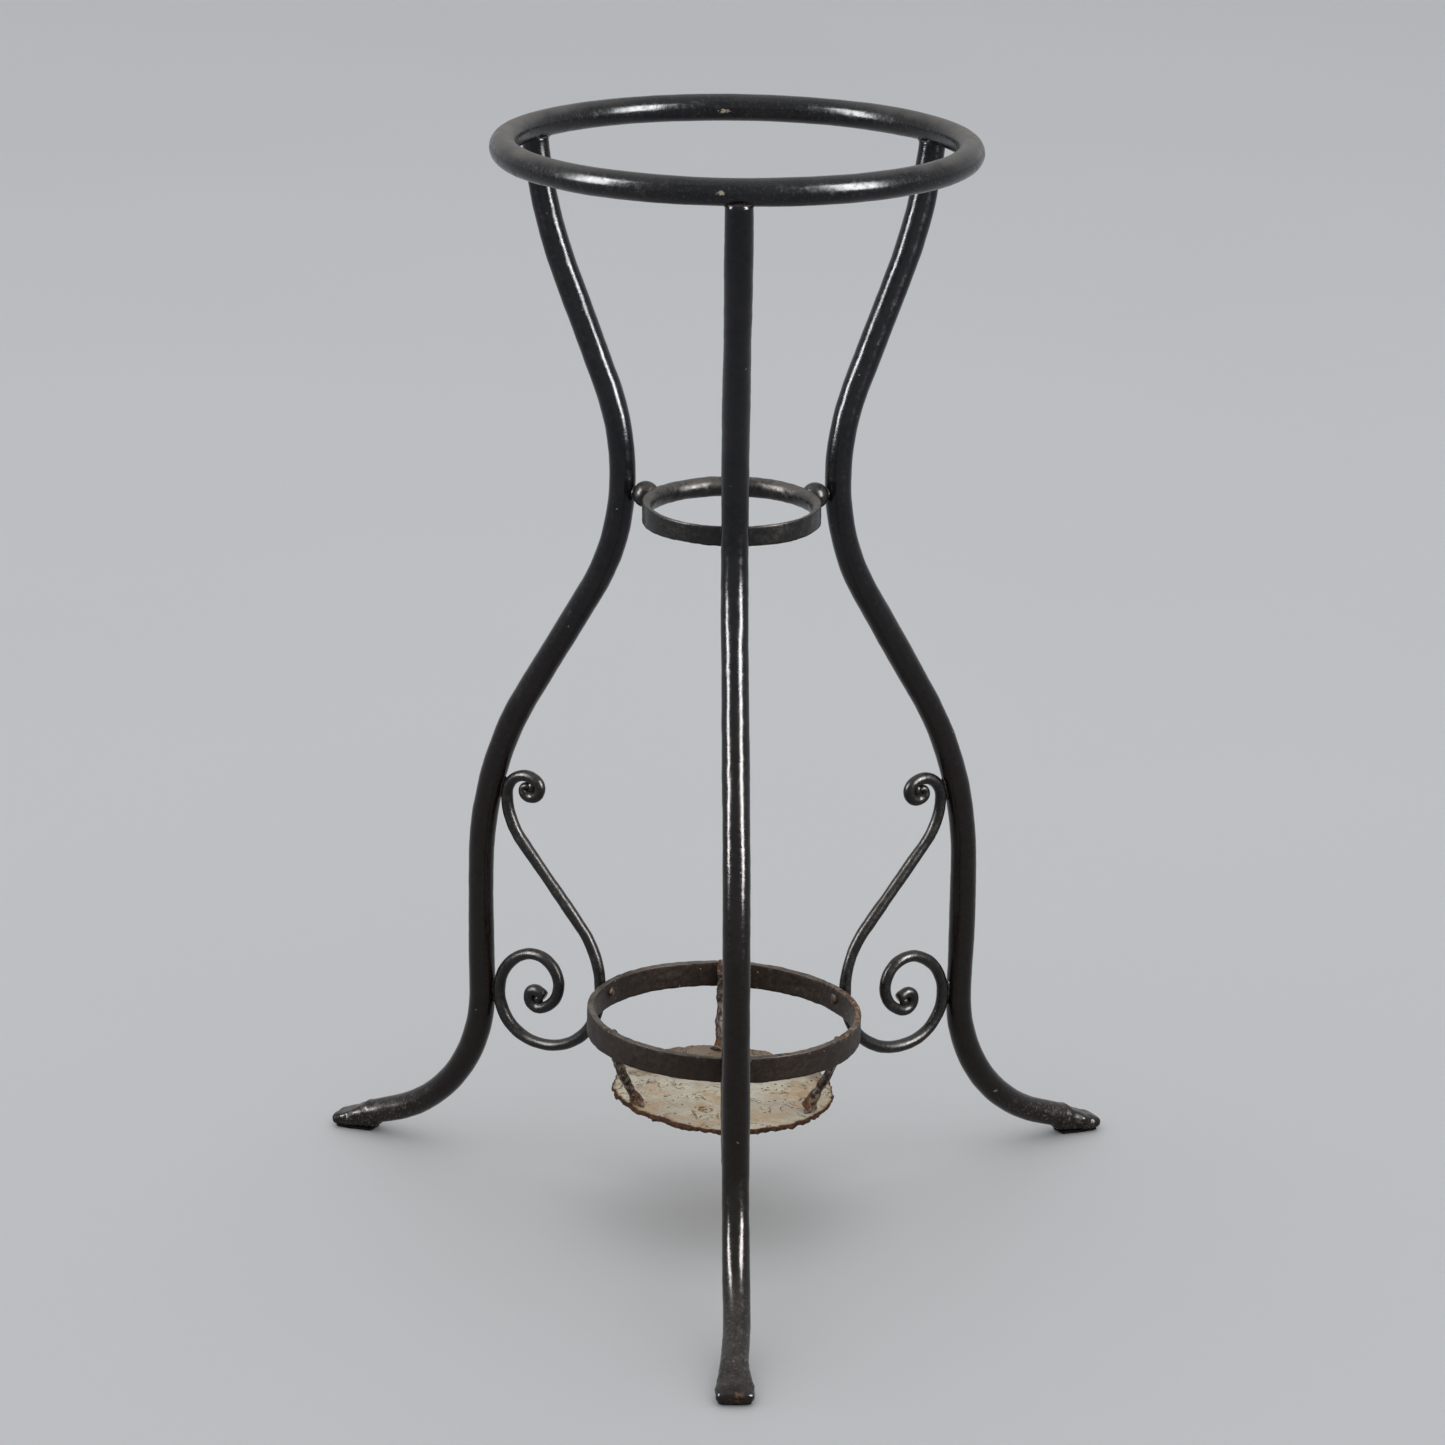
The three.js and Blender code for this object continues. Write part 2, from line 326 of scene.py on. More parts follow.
def tilted(points, tilt, height):
    """Points tilted forward and to the right about the stand's axis at a height."""
    forward, right = np.radians(tilt)
    x, y, z = points[..., 0], points[..., 1], points[..., 2] - height
    y, z = rotated(y, z, forward)
    z, x = rotated(z, x, right)
    return np.stack([x, y, z + height], -1)


def loft_faces(count, sides, closed):
    """The four-sided faces between each row and the next, and from the last to the first when
    the loft is closed."""
    faces = []
    for i in range(count if closed else count - 1):
        here, there = i * sides, (i + 1) % count * sides
        for j in range(sides):
            k = (j + 1) % sides
            faces.append((here + j, here + k, there + k, there + j))
    return faces


def piece(name, rows, finish, node=None, turn=0, closed=False, marks=None, tilt=None):
    """One object from a loft, turned about the stand's axis by degrees, then tilted. marks are
    named values for its points, which the finishes read. A tilt is ((forward, right), height)."""
    count, sides, _ = rows.shape
    x, y = rotated(rows[..., 0], rows[..., 1], math.radians(turn))
    points = np.stack([x, y, rows[..., 2]], -1)
    if tilt:
        points = tilted(points, *tilt)
    points = ((points + [AXIS.x, AXIS.y, 0]).reshape(-1, 3) * MM).tolist()
    faces = loft_faces(count, sides, closed)
    values = {}
    for key, mark in (marks or {}).items():
        values[key] = np.broadcast_to(mark, (count, sides)).ravel().tolist()
    for end in () if closed else (0, count - 1):
        first = end * sides
        points.append(np.mean(points[first:first + sides], axis=0).tolist())
        faces += [(first + j, first + (j + 1) % sides, len(points) - 1) for j in range(sides)]
        for value in values.values():
            value.append(value[first])
    mesh = bpy.data.meshes.new(name)
    mesh.from_pydata(points, [], faces)
    outward(mesh)
    for key, value in values.items():
        mesh.attributes.new(key, "FLOAT", "POINT").data.foreach_set("value", value)
    mesh.materials.append(finish)
    made = bpy.data.objects.new(name, mesh)
    bpy.context.scene.collection.objects.link(made)
    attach(made, BODY)
    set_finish(made, finish["slot"])
    if node:
        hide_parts(node)
    return made


def outward(mesh):
    """Turns every face outwards and shades the mesh smooth."""
    work = bmesh.new()
    work.from_mesh(mesh)
    bmesh.ops.recalc_face_normals(work, faces=work.faces)
    for face in work.faces:
        face.smooth = True
    work.to_mesh(mesh)
    work.free()


def weld(name, centre, direction, finish, turn, seed, reach, radius, rust=0.0, tilt=None):
    """A lumpy spindle of weld along a direction."""
    share = np.linspace(-1, 1, 17)
    outline = [(max(radius * math.sqrt(1 - 0.97 * s * s), 0.2), reach * s) for s in share]
    rows = pointed(spun(outline, 20), direction, centre)
    rows = lumps(rows, seed, (radius * 0.5, 2.8))
    marks = {"wear": 0.3, "rust": rust, "dust": 0.3}
    piece(name, rows, finish, turn=turn, marks=marks, tilt=tilt)


# ---- finishes -----------------------------------------------------------------------------


class Finish:
    """A node material, built by short calls that each return an output socket."""

    def __init__(self, slot):
        self.material = bpy.data.materials.new(f"{slot}_worn")
        self.material["slot"] = slot
        self.material.use_nodes = True
        self.nodes = self.material.node_tree.nodes
        self.links = self.material.node_tree.links
        self.shader = self.nodes["Principled BSDF"]
        self.place = self.add("TexCoord").outputs["Object"]

    def add(self, kind, inputs=None, **settings):
        """A new shader node with its settings and inputs."""
        node = self.nodes.new("ShaderNode" + kind)
        for key, value in settings.items():
            setattr(node, key, value)
        for key, value in (inputs or {}).items():
            self.feed(node.inputs[key], value)
        return node

    def feed(self, socket, value):
        """Links a socket to an output, or sets its own value."""
        if isinstance(value, bpy.types.NodeSocket):
            self.links.new(value, socket)
        else:
            socket.default_value = value

    def moved(self, offset):
        """The place of a point moved by metres, for a pattern of its own."""
        if not offset:
            return self.place
        return self.add("Mapping", {"Vector": self.place, "Location": offset}).outputs[0]

    def noise(self, size, detail=4.0, roughness=0.55, distortion=0.0, offset=None):
        """Noise from 0 to 1 whose largest lumps are about size millimetres across."""
        inputs = {
            "Vector": self.moved(offset), "Scale": 1 / MM / size, "Detail": detail,
            "Roughness": roughness, "Distortion": distortion,
        }
        return self.add("TexNoise", inputs).outputs[0]

    def math(self, operation, a, b=0.0):
        return self.add("Math", {0: a, 1: b}, operation=operation).outputs[0]

    def plus(self, a, b):
        return self.math("ADD", a, b)

    def times(self, *shares):
        """The product of several shares."""
        product = shares[0]
        for share in shares[1:]:
            product = self.math("MULTIPLY", product, share)
        return product

    def most(self, *shares):
        """The largest of several shares."""
        largest = shares[0]
        for share in shares[1:]:
            largest = self.math("MAXIMUM", largest, share)
        return largest

    def ease(self, value, low, high):
        """0 below low and 1 above high, smoothly in between. low may be the larger."""
        inputs = {"Value": value, "From Min": low, "From Max": high}
        return self.add("MapRange", inputs, interpolation_type="SMOOTHSTEP").outputs[0]

    def spots(self, size, share, spread, ragged=0.25, offset=None):
        """Scattered ragged spots, 1 inside them, size millimetres across. There is one place for
        a spot in each spread millimetres, and a share of those places is taken."""
        cells = self.add("TexVoronoi", {"Vector": self.moved(offset), "Scale": 1 / MM / spread})
        rough = self.times(self.noise(size * 0.7, 3), ragged * 2)
        edge = size / spread / 2
        distance = self.plus(cells.outputs["Distance"], self.math("SUBTRACT", rough, ragged))
        inside = self.ease(distance, edge, edge * 0.7)
        pick = self.add("SeparateColor", {"Color": cells.outputs["Color"]}).outputs[0]
        return self.times(inside, self.math("LESS_THAN", pick, share))

    def mark(self, name):
        """A value that the pieces give for each of their points, or 0 where they give none."""
        return self.add("Attribute", attribute_name=name).outputs["Fac"]

    def facing_up(self, low, high):
        """0 where the surface's normal points up by low or less, and 1 by high or more."""
        normal = self.add("NewGeometry").outputs["Normal"]
        return self.ease(self.add("SeparateXYZ", {0: normal}).outputs[2], low, high)

    def height(self, low, high):
        """0 at a height of low millimetres and 1 at high."""
        return self.ease(self.add("SeparateXYZ", {0: self.place}).outputs[2], low * MM, high * MM)

    def mix(self, share, a, b):
        """Between two colours, each a socket or three numbers."""
        node = self.add("Mix", data_type="RGBA")
        for index, value in ((0, share), (6, a), (7, b)):
            if index and not isinstance(value, bpy.types.NodeSocket):
                value = (*value, 1.0)
            self.feed(node.inputs[index], value)
        return node.outputs[2]

    def coats(self, colour, *coats):
        """A colour with coats laid over it in turn. A coat is (its share, its colour)."""
        for share, coat in coats:
            colour = self.mix(share, colour, coat)
        return colour

    def blend(self, share, a, b):
        """Between two values."""
        return self.add("Mix", {0: share, 2: a, 3: b}, data_type="FLOAT").outputs[0]

    def relief(self, *layers):
        """Bumps one over another. A layer is (values from 0 to 1, height in millimetres)."""
        normal = None
        for values, height in layers:
            inputs = {"Height": values, "Distance": abs(height) * MM, "Strength": 1.0}
            bump = self.add("Bump", inputs, invert=height < 0)
            if normal:
                self.feed(bump.inputs["Normal"], normal)
            normal = bump.outputs[0]
        self.feed(self.shader.inputs["Normal"], normal)

    def done(self, colour, roughness, ior=1.5, gleam=(1, 1, 1)):
        """The finished material; gleam tints what it reflects."""
        self.feed(self.shader.inputs["Base Color"], colour)
        self.feed(self.shader.inputs["Roughness"], roughness)
        self.shader.inputs["IOR"].default_value = ior
        if isinstance(gleam, bpy.types.NodeSocket):
            self.feed(self.shader.inputs["Specular Tint"], gleam)
        else:
            self.shader.inputs["Specular Tint"].default_value = (*gleam, 1)
        return self.material


DUST = (0.14, 0.125, 0.105)
RUST_DARK = (0.042, 0.018, 0.009)
RUST_BRIGHT = (0.24, 0.092, 0.028)


def rust_colour(f, size=5):
    """Dark and bright rust in patches."""
    return f.mix(f.ease(f.noise(size, 6, 0.7), 0.40, 0.72), RUST_DARK, RUST_BRIGHT)


def black_enamel():
    """Glossy brush-laid black paint over forged bar, chipped to tan; grimed, dull and tinted by a
    painted floor reflection low down.
    """
    f = Finish("black_enamel")
    cloud = f.noise(26, 6, 0.6)
    fine = f.noise(3.2, 5, 0.65)
    wear = f.mark("wear")
    base = f.mix(f.ease(cloud, 0.35, 0.68), (0.0052, 0.0054, 0.0078), (0.0108, 0.0104, 0.0122))
    # Painted warm reflection of the floor, stronger towards the bottom.
    painted_floor_reflection = f.times(f.height(560, 200), 0.8)
    grime = f.times(f.ease(f.noise(4.5, 9, 0.8, offset=(1, 4, 2)), 0.47, 0.66), 0.5)
    patch = f.ease(f.noise(7, 8, 0.72), 0.52, 0.68)
    rubbed = f.times(patch, f.plus(wear, 0.12))
    speck = f.times(f.ease(f.noise(2.0, 7, 0.8, offset=(3, 1, 5)), 0.54, 0.62), wear, 0.8)
    chips = f.spots(1.9, 0.035, 14)
    tiny = f.spots(0.9, 0.10, 8, offset=(3.7, 3.7, 3.7))
    # The dust mark is partly real dust and partly a painted sheen on the top ring's two sides.
    thickness = f.plus(f.times(f.mark("dust"), 0.5), 0.06)
    dust = f.times(f.facing_up(0.35, 1.0), f.ease(cloud, 0.25, 0.75), thickness)
    scuff = f.plus(f.mark("scuff"), f.noise(1.6, 5, 0.7, offset=(5, 2, 1)))
    rust = f.times(f.mark("rust"), f.ease(fine, 0.42, 0.6))
    colour = f.coats(
        base,
        (painted_floor_reflection, (0.0085, 0.0042, 0.0028)),
        (grime, (0.017, 0.0145, 0.0125)),
        (rubbed, (0.019, 0.0165, 0.0140)),
        (speck, (0.15, 0.128, 0.104)),
        (chips, (0.24, 0.19, 0.135)),
        (tiny, (0.32, 0.28, 0.23)),
        (dust, DUST),
        (f.ease(scuff, 1.16, 1.24), (0.46, 0.39, 0.28)),
        (rust, rust_colour(f)),
    )
    roughness = f.blend(f.ease(fine, 0.3, 0.75), 0.13, 0.27)
    roughness = f.blend(wear, roughness, f.blend(patch, 0.24, 0.52))
    roughness = f.blend(f.most(rubbed, dust, chips, rust, speck), roughness, 0.66)
    f.relief((cloud, 0.35), (fine, 0.065), (f.noise(1.0, 3), 0.02), (chips, -0.12))
    # Reflections are tinted warm low down as well: a painted floor reflection.
    gleam = f.mix(painted_floor_reflection, (0.97, 0.98, 1.0), (1.0, 0.93, 0.90))
    return f.done(colour, roughness, 1.33, gleam)


def satin_black():
    """Thinner black paint gone satin, brown-grey with dust where it faces up."""
    f = Finish("satin_black")
    cloud = f.noise(17, 6, 0.62)
    fine = f.noise(2.6, 5, 0.68)
    wear = f.mark("wear")
    base = f.mix(f.ease(cloud, 0.35, 0.68), (0.0040, 0.0042, 0.0050), (0.0095, 0.0090, 0.0086))
    scuffed = f.times(f.ease(f.noise(6, 8, 0.75), 0.50, 0.68), f.plus(wear, 0.15))
    chips = f.spots(1.5, 0.08, 9)
    thickness = f.plus(f.times(f.mark("dust"), 0.55), 0.10)
    dust = f.times(f.facing_up(0.2, 0.95), f.ease(f.plus(cloud, fine), 0.62, 1.2), thickness)
    rust = f.times(f.mark("rust"), f.ease(fine, 0.4, 0.6))
    colour = f.coats(
        base,
        (scuffed, (0.045, 0.041, 0.036)),
        (chips, (0.28, 0.24, 0.19)),
        (dust, DUST),
        (rust, rust_colour(f)),
    )
    roughness = f.blend(f.ease(fine, 0.3, 0.75), 0.22, 0.40)
    roughness = f.blend(f.most(scuffed, dust, chips, rust), roughness, 0.70)
    f.relief((cloud, 0.3), (fine, 0.09), (f.noise(0.9, 3), 0.02), (chips, -0.12))
    return f.done(colour, roughness, 1.36, gleam=(1.0, 0.94, 0.90))


def rusty_black():
    """Worn black paint over pitted flat bar: brown-black, rust and old pale paint at the edges."""
    f = Finish("rusty_black")
    cloud = f.noise(20, 6, 0.65)
    fine = f.noise(3.0, 6, 0.72)
    wear = f.mark("wear")
    base = f.mix(f.ease(cloud, 0.34, 0.66), (0.0066, 0.0036, 0.0026), (0.0140, 0.0088, 0.0062))
    worn = f.times(f.ease(f.noise(4.5, 9, 0.78), 0.50, 0.66), f.plus(wear, 0.10))
    pits = f.spots(1.3, 0.30, 5)
    dust = f.times(f.facing_up(0.35, 0.95), f.ease(f.plus(cloud, fine), 0.7, 1.2))
    rust = f.ease(f.plus(f.mark("rust"), fine), 0.80, 1.00)
    flakes = f.ease(f.noise(3.6, 6, 0.7, offset=(4, 1, 2)), 0.52, 0.57)
    colour = f.coats(
        base,
        (worn, (0.062, 0.052, 0.041)),
        (pits, (0.24, 0.20, 0.15)),
        (dust, DUST),
        (rust, rust_colour(f, 3.2)),
        (f.times(flakes, f.mark("rust")), (0.42, 0.37, 0.28)),
    )
    roughness = f.blend(f.ease(fine, 0.3, 0.75), 0.36, 0.56)
    roughness = f.blend(f.most(worn, dust, pits, rust), roughness, 0.85)
    f.relief((cloud, 0.4), (fine, 0.16), (f.noise(0.9, 4), 0.05), (pits, -0.2))
    return f.done(colour, roughness, 1.34, gleam=(1.0, 0.78, 0.68))


def cream_paint():
    """Old cream paint, stained yellow and brown, cracked, and rusted through at the rim."""
    f = Finish("cream_paint")
    cloud = f.noise(34, 6, 0.6)
    base = f.mix(f.ease(cloud, 0.3, 0.7), (0.50, 0.46, 0.37), (0.74, 0.67, 0.52))
    stain = f.ease(f.noise(29, 9, 0.78, offset=(2, 5, 1)), 0.40, 0.66)
    brown = f.plus(f.noise(15, 9, 0.75, offset=(6, 2, 3)), f.times(f.mark("stain"), 0.35))
    grime = f.ease(f.noise(5, 9, 0.8, offset=(1, 2, 7)), 0.53, 0.70)
    cracks = f.math("SUBTRACT", f.noise(14, 6, 0.62, 0.8, offset=(7, 3, 2)), 0.5)
    cracks = f.ease(f.math("ABSOLUTE", cracks), 0.014, 0.004)
    cracks = f.times(cracks, f.ease(f.noise(17, 3), 0.48, 0.57))
    pits = f.spots(1.8, 0.42, 5, offset=(1.3, 1.3, 1.3))
    eaten = f.plus(f.mark("rust"), f.noise(9, 8, 0.75, offset=(3, 3, 3)))
    rust = f.ease(eaten, 0.95, 1.05)
    colour = f.coats(
        base,
        (f.times(stain, 0.8), (0.50, 0.295, 0.120)),
        (f.times(f.ease(brown, 0.55, 0.78), 0.8), (0.15, 0.085, 0.042)),
        (f.times(grime, 0.65), (0.19, 0.14, 0.085)),
        (cracks, (0.045, 0.03, 0.018)),
        (pits, (0.075, 0.042, 0.022)),
        (f.times(f.ease(eaten, 0.76, 1.00), 0.85), (0.30, 0.155, 0.06)),
        (rust, f.mix(0.35, rust_colour(f, 3.5), RUST_DARK)),
    )
    hollow = f.most(cracks, pits, rust)
    roughness = f.blend(hollow, f.blend(cloud, 0.45, 0.66), 0.92)
    f.relief((cloud, 0.5), (f.noise(2.4, 6, 0.7), 0.12), (hollow, -0.35))
    return f.done(colour, roughness, 1.46)


def foot_rubber():
    """Black rubber pad, a little grey with floor dust."""
    f = Finish("foot_rubber")
    cloud = f.noise(5, 6, 0.7)
    colour = f.mix(f.ease(cloud, 0.4, 0.72), (0.0045, 0.0042, 0.0040), (0.016, 0.0145, 0.013))
    roughness = f.blend(f.ease(cloud, 0.3, 0.7), 0.72, 0.92)
    f.relief((cloud, 0.2), (f.noise(0.8, 4), 0.04))
    return f.done(colour, roughness, 1.3)


ENAMEL = black_enamel()
SATIN = satin_black()
RUSTY = rusty_black()
CREAM = cream_paint()
RUBBER = foot_rubber()

# ---- top ring and legs --------------------------------------------------------------------


def top_ring():
    """The round bar at the top, dustiest at its two sides, where dust also paints a grey sheen."""
    radius, height, half = TOP_RING["radius"], TOP_RING["height"], TOP_RING["bar"] / 2
    stations = 320
    outline = arc((radius, height), half, 0, 350, 36)
    rows = lumps(revolved(outline, stations), 1, (0.35, 60), (0.14, 14))
    spread = DUST_AND_SHEEN_SIDES["spread"]
    ends = sum(near_angle(stations, angle, spread) for angle in DUST_AND_SHEEN_SIDES["angles"])[:, None]
    scuff = ring_scuffs(stations, (rows[..., 2] - height) / half)
    # Dust and wear laid thicker at the two sides stand partly for real dust and partly for a
    # painted sheen.
    marks = {"wear": 0.28 + 0.2 * ends, "rust": 0, "dust": 0.05 + 3.4 * ends, "scuff": scuff}
    piece("top_ring_bar", rows, ENAMEL, "top_ring", closed=True, marks=marks)


def ring_scuffs(stations, above):
    """How scuffed the top ring is; above is the height over the bar's middle, over its radius."""
    scuff = 0
    for degrees, spread, level, reach, strength in RING_SCUFFS:
        along = strength * near_angle(stations, degrees, spread)[:, None]
        scuff = scuff + along * np.exp(-((above - level) / reach) ** 2)
    return scuff


def leg_stations():
    """The leg's line with its half sizes, from inside the top ring to the end of the toe."""
    shank = walk(**LEG_LINE)[:-1]
    round_bar = np.tile([LEG_BAR / 2, LEG_BAR / 2, 2.0], (len(shank), 1))
    return np.vstack([LEG_TOP_ROWS, np.hstack([shank, round_bar]), smooth_rows(TOE_ROWS)])


def leaning(rows, side):
    """Rows of a leg moved sideways: by its lean below the ball, and by the sway of its foot."""
    rows[..., 1] += LEAN[side] * (BALL["height"] - rows[..., 2])
    rows[..., 1] += TOE_SWAY[side] * eased(ramp(rows[..., 0], *SWAY_SPAN))
    return rows


def toe_reached(distance, side):
    """A distance along a toe, once the toe is as long as it is on this side."""
    return distance + TOE_REACH[side] * eased(ramp(distance, *REACH_SPAN))


def leg(side, turn, seed):
    """One bent leg: smooth enamel down to a hammered, dull toe."""
    stations = leg_stations()
    line, (depth, width, squareness) = stations[:, :2], stations[:, 2:].T
    rows = bar(line, depth, width, squareness, 40)
    thick = np.minimum(depth / 8.5, 1)[:, None]  # thin ends are less lumpy
    hammered = (ramp(line[:, 0], *HAMMERED_SPAN) * np.minimum(depth / 3, 1))[:, None]
    rows = lumps(rows, seed, (0.5, 70), (0.22, 13), (0.12, 5), share=thick)
    rows = lumps(rows, seed + 5, (0.9, 6), (0.45, 2.8), share=hammered)
    marks = leg_marks(line[:, :1], rows[..., 1], side)
    rows[..., 0] = toe_reached(rows[..., 0], side)
    piece(f"leg_{side}_bar", leaning(rows, side), ENAMEL, f"leg_{side}", turn, marks=marks)


def leg_marks(distance, across, side):
    """A leg is dull and dusty towards its toe, and the tip of the front one is rusty."""
    dull = ramp(distance, *DULL_SPAN) * (1 - 0.75 * ramp(distance, *BRIGHT_SPAN))
    patch = np.exp(-((across - TIP_RUST["middle"]) / TIP_RUST["width"]) ** 2)
    rust = ramp(distance, *TIP_RUST_SPAN) * patch
    return {"wear": dull, "rust": rust if side == "front" else 0, "dust": 0.5 * dull}


def ring_weld(side, turn, seed):
    """The bead where a leg meets the underside of the top ring."""
    radius, half, reach = TOP_RING["radius"], TOP_RING["bar"] / 2, LEG_BAR / 2
    angle = np.arange(48) / 48 * TAU
    across, inward = reach * np.sin(angle), reach * np.cos(angle)
    distance = np.hypot(radius + inward, across) - radius
    sideways = np.clip(distance, -RING_BEAD["span"], RING_BEAD["span"])
    drop = np.sqrt(half ** 2 - sideways ** 2)
    seam = np.stack([radius + inward, across, TOP_RING["height"] - drop], -1)
    turned = (np.arange(8) / 8 * TAU)[:, None]
    out = np.stack([np.cos(angle), np.sin(angle), 0 * angle], -1)[:, None]
    up = np.array([0, 0, 1])
    around = out * np.cos(turned) + up * np.sin(turned)
    rows = seam[:, None] + RING_BEAD["radius"] * around
    rows = leaning(lumps(rows, seed, (0.2, 3.2)), side)
    marks = {"wear": 0.1, "rust": 0}
    piece(f"ring_weld_{side}", rows, RUSTY, turn=turn, closed=True, marks=marks)


def foot_pad(side, turn, seed):
    """The rubber block between a toe and the floor."""
    rows = smooth_rows(PAD_ROWS)
    pad = lumps(bar(rows[:, :2], rows[:, 2], rows[:, 3], 4.5, 36), seed, (0.3, 6), (0.2, 2.5))
    pad[..., 0] = toe_reached(pad[..., 0], side)
    pad[..., 2] = np.maximum(pad[..., 2], 0)
    piece(f"foot_pad_{side}_block", leaning(pad, side), RUBBER, f"foot_pad_{side}", turn)


# ---- waist ring and balls -----------------------------------------------------------------


def waist_ring():
    """The half-round bar at the waist, its flat side out."""
    radius, height = WAIST_RING["radius"], WAIST_RING["height"]
    bottom, thick, corner = WAIST_RING["bottom"], WAIST_RING["thickness"], WAIST_RING["corner"]
    top = bottom + height
    angle = np.radians(np.linspace(80, 280, 19))
    belly = [
        (radius - corner + (thick - corner) * math.cos(a), bottom + height / 2 * (1 + math.sin(a)))
        for a in angle
    ]
    outline = arc((radius - corner, bottom + corner), corner, -60, 0, 4)
    outline += arc((radius - corner, top - corner), corner, 0, 60, 4)
    outline = filled(outline + belly, 1.4)
    rows = lumps(revolved(outline, 260), 5, (0.5, 30), (0.35, 7), (0.12, 2.5))
    outer = ramp(outline[:, 0], radius - 2.2, radius)
    upper = ramp(outline[:, 1], top - 3, top)
    marks = {"wear": 0.22 + 0.6 * outer * upper, "rust": 0, "dust": 1.3}
    tilt = (WAIST_TILT, bottom + height / 2)
    piece("waist_ring_bar", rows, SATIN, "waist_ring", closed=True, marks=marks, tilt=tilt)


def ball(side, turn, seed):
    """The ball between the waist ring and a leg, with a collar of weld on either side."""
    radius, place = BALL["radius"], BALL["place"]
    outline = arc((0, 0), radius, -88, 88, 26)
    rows = lumps(pointed(spun(outline, 40), (1, 0, 0), (place, 0, BALL["height"])), seed, (0.3, 7))
    inward = np.clip((place - rows[..., 0]) / radius, 0, 1)
    marks = {"wear": 0.25, "rust": 0, "dust": 0.3 + 0.6 * inward}
    piece(f"ball_{side}_bead", rows, SATIN, f"ball_{side}", turn, marks=marks)
    collars = {"ring": (WAIST_RING["radius"] + 0.4, 6.6), "leg": (place + radius - 0.2, 4.0)}
    for index, (name, (distance, reach)) in enumerate(collars.items()):
        outline = [(1.2, -1.3), (reach - 0.7, -1.0), (reach, 0), (reach - 0.6, 1.0), (1.2, 1.3)]
        rows = spun(smooth_rows(outline, 3), 24)
        rows = pointed(rows, (1, 0, 0), (distance, 0, BALL["height"]))
        rows = lumps(rows, seed + index, (0.8, 2.5))
        marks = {"wear": 0.4, "rust": 0, "dust": 0.4}
        piece(f"ball_{side}_weld_{name}", rows, SATIN, turn=turn, marks=marks)


# ---- lower ring, scrolls and rivets -------------------------------------------------------


def lower_ring():
    """The upright flat bar that carries the tray, chipped along its top edge."""
    radius, bottom, corner = LOWER_RING["radius"], LOWER_RING["bottom"], LOWER_RING["corner"]
    inner, top = radius - LOWER_RING["thickness"], bottom + LOWER_RING["height"]
    corners = [
        ((radius - corner, bottom + corner), -90), ((radius - corner, top - corner), 0),
        ((inner + corner, top - corner), 90), ((inner + corner, bottom + corner), 180),
    ]
    outline = []
    for centre, first in corners:
        outline += arc(centre, corner, first, first + 90, 4)
    outline = filled(outline, 1.3)
    stations = 340
    rows = lumps(revolved(outline, stations), 9, (0.7, 40), (0.35, 8), (0.28, 3))
    near_top = ramp(outline[:, 1], top - 3, top)
    worn_side = near_angle(stations, CHIPPED_SIDE["angle"], CHIPPED_SIDE["spread"])
    welds = sum(near_angle(stations, turn, 9) for turn in STRUT_ANGLES.values())
    chipped = np.clip(0.62 * worn_side + 0.5 * welds, 0, 1)
    rust = 0.85 * (np.outer(chipped, near_top) + 0.1 * worn_side[:, None])
    marks = {"wear": 0.12 + 0.88 * near_top, "rust": rust}
    tilt = (LOWER_TILT, RIVET["height"])
    piece("lower_ring_bar", rows, RUSTY, "lower_ring", closed=True, marks=marks, tilt=tilt)


def scroll_stations():
    """The scroll's line with its half sizes, from the tucked-in tip to the lower end."""
    tip = walk(**CURL_TIP, step=1.2)[:0:-1]
    body = walk(**SCROLL_LINE, step=2.2)
    half = SCROLL_BAR / 2
    tip_sizes = np.linspace([2.0, 3.6], [half * 0.97, half * 1.06], len(tip))
    body_sizes = np.tile([half, half], (len(body), 1))
    body_sizes[-1] *= 0.84
    return np.vstack([np.hstack([tip, tip_sizes]), np.hstack([body, body_sizes])])


def scroll(side, turn, seed):
    """The thin bar that curls from a leg to the lower ring."""
    stations = scroll_stations()
    rows = bar(stations[:, :2], stations[:, 2], stations[:, 3], 2.0, 24)
    rows = lumps(rows, seed, (0.5, 34), (0.22, 8), (0.12, 3))
    marks = {"wear": 0.22, "rust": 0, "dust": 0.28}
    piece(f"scroll_{side}_bar", rows, SATIN, f"scroll_{side}", turn, marks=marks)
    scroll_core(f"scroll_{side}_eye", CURL_EYE, turn, seed)
    scroll_core(f"scroll_{side}_roll", ROLL_CORE, turn, seed)
    scroll_welds(side, stations[:, :2], turn, seed)


def scroll_welds(side, line, turn, seed):
    """The welds where the two curls of a scroll touch its leg."""
    leg_line = walk(**LEG_LINE)
    share = SCROLL_BAR / (SCROLL_BAR + LEG_BAR)
    high = line[:, 1] > SCROLL_MIDDLE
    for name, curl in (("upper", line[high]), ("lower", line[~high])):
        apart = np.linalg.norm(curl[:, None] - leg_line[None], axis=-1)
        near, beside = np.unravel_index(apart.argmin(), apart.shape)
        touch = curl[near] + (leg_line[beside] - curl[near]) * share
        along = leg_line[beside + 1] - leg_line[beside - 1]
        place, direction = (touch[0], 0, touch[1]), (along[0], 0, along[1])
        weld(f"scroll_{side}_weld_{name}", place, direction, SATIN, turn, seed, **SCROLL_WELD)


def scroll_core(name, core, turn, seed):
    """The flattened ball of iron that closes the middle of a curl."""
    radius, (distance, height) = core["radius"], core["centre"]
    ball = spun(arc((0, 0), radius, -88, 88, 14), 24) * [1, 1, core["half_width"] / radius]
    rows = lumps(pointed(ball, (0, 1, 0), (distance, 0, height)), seed, (0.5, 3))
    piece(name, rows, SATIN, turn=turn, marks={"wear": 0, "rust": 0, "dust": 0})


